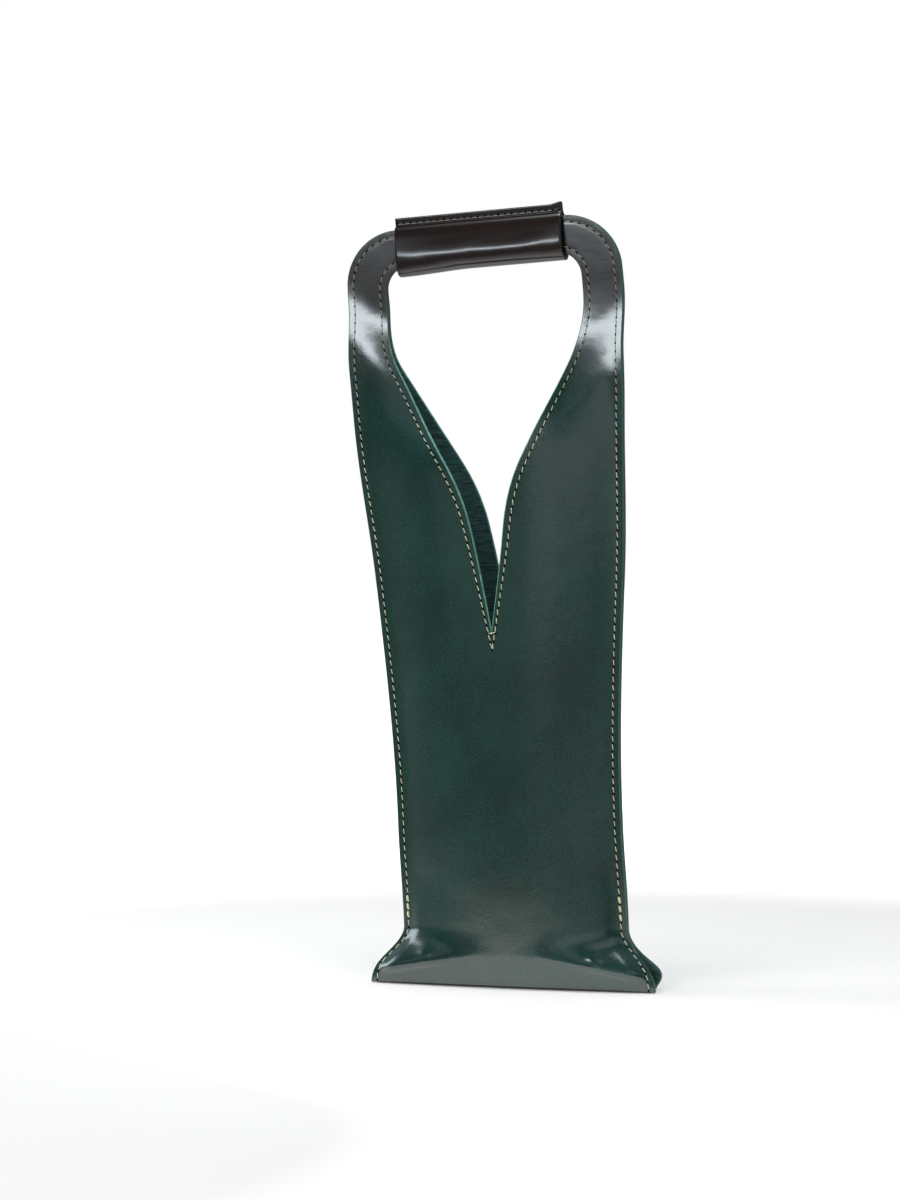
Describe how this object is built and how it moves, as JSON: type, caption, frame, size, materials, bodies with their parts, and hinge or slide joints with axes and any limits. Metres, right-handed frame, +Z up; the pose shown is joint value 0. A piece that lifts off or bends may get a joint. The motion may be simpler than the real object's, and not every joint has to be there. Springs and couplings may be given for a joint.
{
  "type": "bottle carrier",
  "caption": "Tall leather carrier for one bottle: two sewn panels with a V mouth that widens into a hand hole, a flat base and a wrapped grip sleeve on the handle bar.",
  "frame": {"origin": "on the floor under the middle of the base", "axes": "+Z up, +X to the carrier's right seen from the front, -Y towards the front panel"},
  "size_m": [0.1687, 0.038, 0.4076],
  "materials": {
    "panel_leather": "glossy dark green smooth leather, darker and browner towards the handle",
    "grip_leather": "glossy dark brown smooth leather",
    "seam_thread": "straw coloured waxed thread",
    "grip_thread": "dull gold waxed thread"
  },
  "bodies": {
    "carrier": {"front_panel": "panel_leather", "back_panel": "panel_leather", "base_panel": "panel_leather", "left_side_seam_thread": "seam_thread", "right_side_seam_thread": "seam_thread", "top_seam_thread": "seam_thread", "front_opening_thread": "seam_thread", "back_opening_thread": "seam_thread", "front_bar_tack": "seam_thread", "back_bar_tack": "seam_thread", "left_seam_lock": "seam_thread", "right_seam_lock": "seam_thread", "left_corner_thread": "seam_thread", "right_corner_thread": "seam_thread"},
    "grip": {"grip_sleeve": "grip_leather", "grip_seam_thread": "grip_thread"}
  },
  "joints": [
    {"name": "grip_slide", "type": "slide", "parent": "carrier", "child": "grip", "axis": [0.999, 0, 0.0436], "range_m": [-0.0015, 0.0015]}
  ]
}
